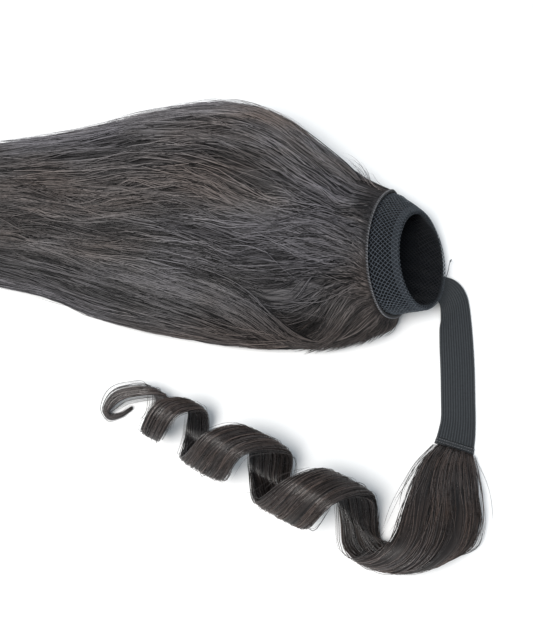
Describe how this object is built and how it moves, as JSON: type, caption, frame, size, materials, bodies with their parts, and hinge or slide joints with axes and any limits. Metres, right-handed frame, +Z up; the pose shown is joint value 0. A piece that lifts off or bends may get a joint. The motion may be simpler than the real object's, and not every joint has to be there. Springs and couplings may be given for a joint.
{
  "type": "ponytail hairpiece",
  "caption": "Ponytail hairpiece laid flat: straight hair on a mesh net collar, with a ribbed strap ending in a curled lock that wraps round the base.",
  "frame": {"origin": "middle of the footprint, on the surface the hairpiece lies on", "axes": "+X from the hair's free end towards the net collar, +Y from the curled lock towards the hair, +Z up"},
  "size_m": [0.503, 0.2838, 0.0439],
  "materials": {
    "net": "black knotted net",
    "thread": "stitched band",
    "hair": "dark brown hair fibre with a soft sheen",
    "tape": "ribbed woven tape"
  },
  "bodies": {
    "root": {"net_collar": "net", "seam_track": "thread", "ponytail": "hair", "strap": "tape", "wrap_weft": "thread", "wrap_lock": "hair"}
  },
  "joints": []
}
